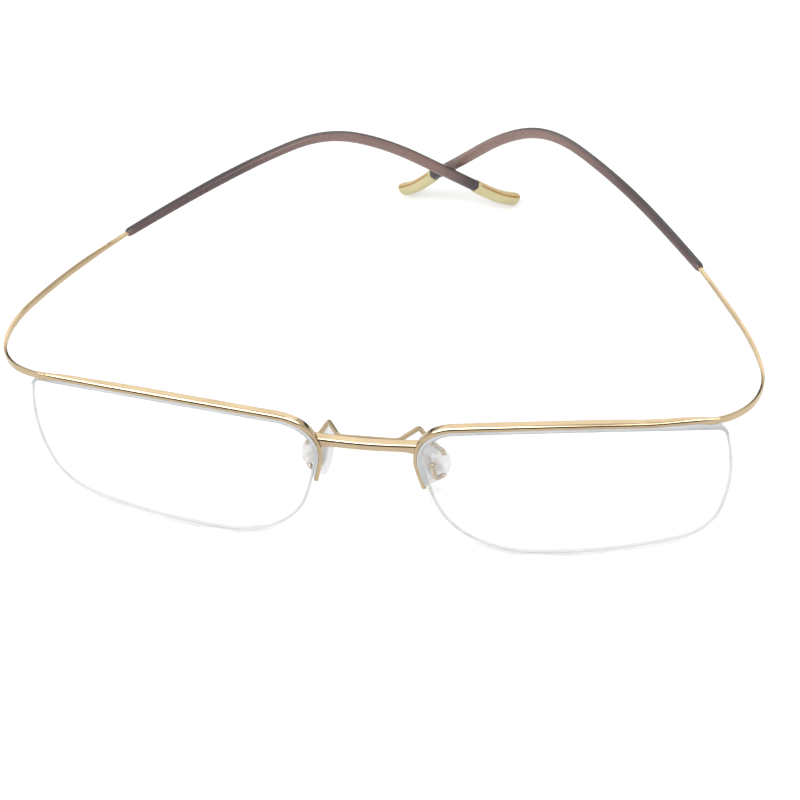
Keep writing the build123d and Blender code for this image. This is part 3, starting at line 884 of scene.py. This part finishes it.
def make_temple(side, who):
    lift = 0.80 if side > 0 else 0.05
    head = [bar_centre(side, HEAD_U - 1.6, 0.86 + lift * 0.92, -0.30), bar_centre(side, HEAD_U - 0.3, 0.82 + lift, -0.30)]
    arm = own(side, ARM[side])
    slv = own(side, SLEEVE[side])
    ctrl = [np.array(p) for p in head] + [np.array(p) for p in arm] + [np.array(p) for p in slv[1:3]]
    ctrl.append((np.array(slv[2]) + np.array(slv[3])) / 2)
    pts = spline(ctrl, 460, smooth=1.6)
    s = arclen(pts)
    mouth = int(np.argmin(np.linalg.norm(pts - np.array(arm[-1]), axis=1)))
    s_m = s[mouth]
    A, B = frames_up(pts)
    secs = []
    for si in s:
        hgt = np.interp(si, [0, 5, 10, 16, 24, s_m * 0.7, s_m - 6, s_m - 1, s[-1]], [1.40, 1.44, 1.38, 1.28, 1.22, 1.18, 1.06, 0.9, 0.9])
        thk = np.interp(si, [0, 5, 12, s_m * 0.6, s_m - 8, s_m - 1, s[-1]], [0.66, 0.62, 0.6, 0.58, 0.62, 0.88, 0.88])
        rnd = float(smoothstep(si, s_m - 12, s_m - 1))
        h_, t_ = hgt / 2, thk / 2 * (1 if side > 0 else -1)
        # outer face bevelled to a bright edge at the top, the top itself falls away inward
        flat = bevel_poly([(t_ - 0.10 * np.sign(t_), h_), (t_, h_ - 0.14), (t_, -h_ + 0.05), (t_ * 0.7, -h_), (-t_ * 0.8, -h_), (-t_, -h_ + 0.08), (-t_, h_ - 0.26)],
                          [0.04, 0.05, 0.05, 0.04, 0.05, 0.05, 0.08], seg=3)
        a_ = np.arctan2(flat[:, 1] / h_, flat[:, 0] / abs(t_))
        tail = np.c_[abs(t_) * np.cos(a_), h_ * np.sin(a_)]
        secs.append(flat * (1 - rnd) + tail * rnd)
    pm = np.array([W(p) for p in pts])
    verts, faces = lathe_tube(pm, A * 0.001, B * 0.001, secs, cap0="flat", cap1=0.0003)
    ob = fix_normals(new_object(who + "_temple_strip", verts, faces, [MAT["gold_strip"]], sharp=40))
    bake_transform(ob)
    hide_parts(who + "_endpiece_strip", who + "_temple")

    # sleeve
    ctrl = [np.array(p) for p in slv]
    pts = spline(ctrl, 420, smooth=1.8)
    s = arclen(pts)
    L = s[-1]
    A, B = frames_up(pts)
    f = s / L
    hgt = np.interp(f, [0, 0.04, 0.25, 0.45, 0.6, 0.8, 1.0], [1.66, 1.72, 1.92, 1.84, 2.1, 2.26, 2.3])
    wid = np.interp(f, [0, 0.04, 0.25, 0.45, 0.6, 0.8, 1.0], [1.62, 1.66, 1.8, 1.76, 1.96, 2.06, 2.1])
    lip = smoothstep(s, 0.9, 0.0)
    secs = [superellipse(w_ / 2 * (1 - 0.22 * k ** 2), h_ / 2 * (1 - 0.22 * k ** 2), 2.2, 32) for h_, w_, k in zip(hgt, wid, lip)]
    pm = np.array([W(p) for p in pts])
    verts, faces = lathe_tube(pm, A * 0.001, B * 0.001, secs, cap0="flat", cap1="flat")
    m_ = 32
    along = [f[min(i // m_, len(f) - 1)] for i in range(len(pm) * m_)] + [0.0, 1.0]
    # upper: how far each face turns up and back, the mask for the sleeve's painted shade
    upper = []
    lean = np.array([0.0, 0.62, 0.78])
    for a_, b_, sec in zip(A, B, secs):
        d_ = sec / np.linalg.norm(sec, axis=1)[:, None]
        nrm = np.outer(d_[:, 0], a_) + np.outer(d_[:, 1], b_)
        upper.extend(list(smoothstep(nrm.dot(lean), 0.1, 0.9)))
    upper += [0.0, 0.0]
    ob = new_object(who + "_sleeve_skin", verts, faces, [MAT["sleeve"]], sharp=50, attrs={"along": along, "upper": upper})
    fix_normals(ob)
    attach(ob, who + "_temple")
    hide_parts(who + "_temple_sleeve")

    # end cap: wider than the sleeve, slightly curved, oblique rounded end, a groove along its upper side
    e0 = np.array(slv[-1])
    e1 = np.array((side * TIP[side][0], TIP[side][1], TIP[side][2]))
    d = (e1 - e0) / np.linalg.norm(e1 - e0)
    length = np.linalg.norm(e1 - e0)
    up = np.array([0, 0, 1.0]) - d * d[2]
    up /= np.linalg.norm(up)
    ctrl = [e0 - d * 0.2, e0 + d * length * 0.35 - up * 0.22, e0 + d * length * 0.72 + up * 0.02, e1 - d * 0.25 + up * 0.85]
    pts = spline(ctrl, 90)
    s = arclen(pts)
    L = s[-1]
    A, B = frames_up(pts)
    secs = []
    m_ = 48
    for si in s:
        k0 = 1 - 0.10 * smoothstep(si, 0.5, 0.0)
        t_ = np.clip((si - (L - 1.25)) / 1.25, 0, 1)
        rest = math.sqrt(max(0.0, 1 - t_ ** 2.2))
        sec = superellipse(1.12 * k0, 1.38 * k0, 2.6, m_)
        # a ledge along the upper flank
        ang = np.degrees(np.arctan2(sec[:, 1] / 1.38, sec[:, 0] / 1.12)) % 360
        ledge = 0.07 * smoothstep(si, 0.15, 0.9)
        up_zone = smoothstep(56.0 - np.abs(ang - 90), -3.0, 3.0)
        groove = np.exp(-((np.abs(ang - 90) - 56.0) / 5.0) ** 2)
        sec = sec * (1 - ledge * up_zone - ledge * 0.9 * groove)[:, None]
        # oblique end: the underside sweeps up to a corner at the top
        topy = sec[:, 1].max()
        sec[:, 1] = topy - (topy - sec[:, 1]) * (0.42 + 0.58 * rest) - 0.10 * t_ ** 3
        sec[:, 0] *= 0.62 + 0.38 * math.sqrt(max(0.0, 1 - t_ ** 4))
        secs.append(sec)
    pm = np.array([W(p) for p in pts])
    verts, faces = lathe_tube(pm, A * 0.001, B * 0.001, secs, cap0="flat", cap1="flat")
    # faces in the groove band and on the top take the painted-shade copies of the cap colour
    fmat = []
    a0 = superellipse(1.12, 1.38, 2.6, m_)
    a_m = np.degrees(np.arctan2(a0[:, 1] / 1.38, a0[:, 0] / 1.12)) % 360
    for i, fc in enumerate(faces):
        ringi, k = divmod(i, m_)
        if ringi >= len(pts) - 1:
            fmat.append(0)
            continue
        mid = a_m[k] + ((a_m[(k + 1) % m_] - a_m[k]) % 360) / 2
        off = abs(mid - 90)
        if 46 < off < 60 and s[ringi] > 0.7:
            fmat.append(1)
        elif off <= 46 and s[ringi] > 0.3:
            fmat.append(2)
        else:
            fmat.append(0)
    ob = new_object(who + "_end_cap", verts, faces, [MAT["cap"], MAT["amber"], MAT["tan"]], fmat, sharp=45)
    fix_normals(ob)
    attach(ob, who + "_temple")
    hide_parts(who + "_tip_cap")


for side, who in ((-1, "right"), (1, "left")):
    make_rim(side, who + "_half_rim")
    make_lens(side, who + "_lens_body", who + "_lens")
    make_cord(side, who + "_cord_line", who + "_nylon_cord")
    make_liner(side, who + "_liner_rib", who + "_rim_liner")
    make_pad(side, who + "_nose_pad")
    make_temple(side, who)
make_bridge()
make_wire()

# ---------------------------------------------------------------------------
# Floor, light and camera
# ---------------------------------------------------------------------------
me = bpy.data.meshes.new("floor")
me.from_pydata([(-6, -6, 0), (6, -6, 0), (6, 6, 0), (-6, 6, 0)], [], [(0, 1, 2, 3)])
floor = bpy.data.objects.new("floor", me)
scene.collection.objects.link(floor)
fm, nt, b = base_material("floor_white", Roughness=0.9)
b.inputs["Specular IOR Level"].default_value = 0.1
b.inputs["Base Color"].default_value = (0.80, 0.80, 0.80, 1)
me.materials.append(fm)

world = bpy.data.worlds.new("studio")
scene.world = world
world.use_nodes = True
world.node_tree.nodes["Background"].inputs["Color"].default_value = (1, 1, 1, 1)
world.node_tree.nodes["Background"].inputs["Strength"].default_value = 0.9


def area(name, loc, target, size, power, colour=(1, 1, 1)):
    li = bpy.data.lights.new(name, "AREA")
    li.shape = "RECTANGLE"
    li.size, li.size_y = size
    li.energy = power
    li.color = colour
    ob = bpy.data.objects.new(name, li)
    ob.location = loc
    ob.rotation_euler = (Vector(target) - Vector(loc)).to_track_quat("-Z", "Y").to_euler()
    scene.collection.objects.link(ob)
    return ob


area("front_strip", (-0.13, -0.60, 0.78), (0, -0.04, 0.02), (1.3, 0.36), 6.4 * math.pi * 1.3 * 0.36)
area("back_soft", (-0.16, 0.95, 0.85), (0, -0.04, 0.02), (1.8, 0.7), 1.05 * math.pi * 1.8 * 0.7)

for nm, loc, size in (("side_left_gloss", (0.66, -0.50, 0.92), (0.55, 0.5)), ("side_right_gloss", (-1.02, -0.52, 0.86), (0.6, 0.5))):
    ob = area(nm, loc, (0, -0.04, 0.02), size, 4.6 * math.pi * size[0] * size[1])
    ob.visible_diffuse = False


def card(name, corners, shade):
    me = bpy.data.meshes.new(name)
    me.from_pydata(corners, [], [(0, 1, 2, 3)])
    ob = bpy.data.objects.new(name, me)
    scene.collection.objects.link(ob)
    mm, nt, b = base_material(name + "_black", Roughness=1.0)
    b.inputs["Base Color"].default_value = (shade, shade, shade, 1)
    b.inputs["Specular IOR Level"].default_value = 0.0
    me.materials.append(mm)
    ob.visible_camera = False
    ob.visible_shadow = False
    ob.visible_diffuse = False
    return ob


# dark cards that only the gloss sees: they draw the thin dark lines on the metal
card("card_front", [(-1.4, -1.0, 0.0), (1.4, -1.0, 0.0), (1.4, -1.0, 0.56), (-1.4, -1.0, 0.56)], 0.02)
card("card_back", [(-1.6, 1.5, 0.0), (1.6, 1.5, 0.0), (1.6, 1.5, 0.42), (-1.6, 1.5, 0.42)], 0.05)

# camera, at the height and distance of the reference view
C = np.array([63.07, -298.29, 270.10])
right = np.array([0.9868, 0.1571, -0.0387])
up = np.array([-0.0711, 0.6358, 0.7685])
back = -np.array([-0.1453, 0.7557, -0.6386])
right /= np.linalg.norm(right)
back -= right * back.dot(right)
back /= np.linalg.norm(back)
up = np.cross(back, right)
cam_data = bpy.data.cameras.new("camera")
cam_data.sensor_width = 36.0
cam_data.lens = 2374.98 / 800 * 36.0
cam_data.clip_start, cam_data.clip_end = 0.01, 20
cam = bpy.data.objects.new("camera", cam_data)
mw = Matrix.Identity(4)
pos = W(C)
for i in range(3):
    mw[i][0], mw[i][1], mw[i][2], mw[i][3] = right[i], up[i], back[i], pos[i]
cam.matrix_world = mw
scene.collection.objects.link(cam)
scene.camera = cam
scene.view_settings.view_transform = "Standard"

bpy.context.view_layer.update()
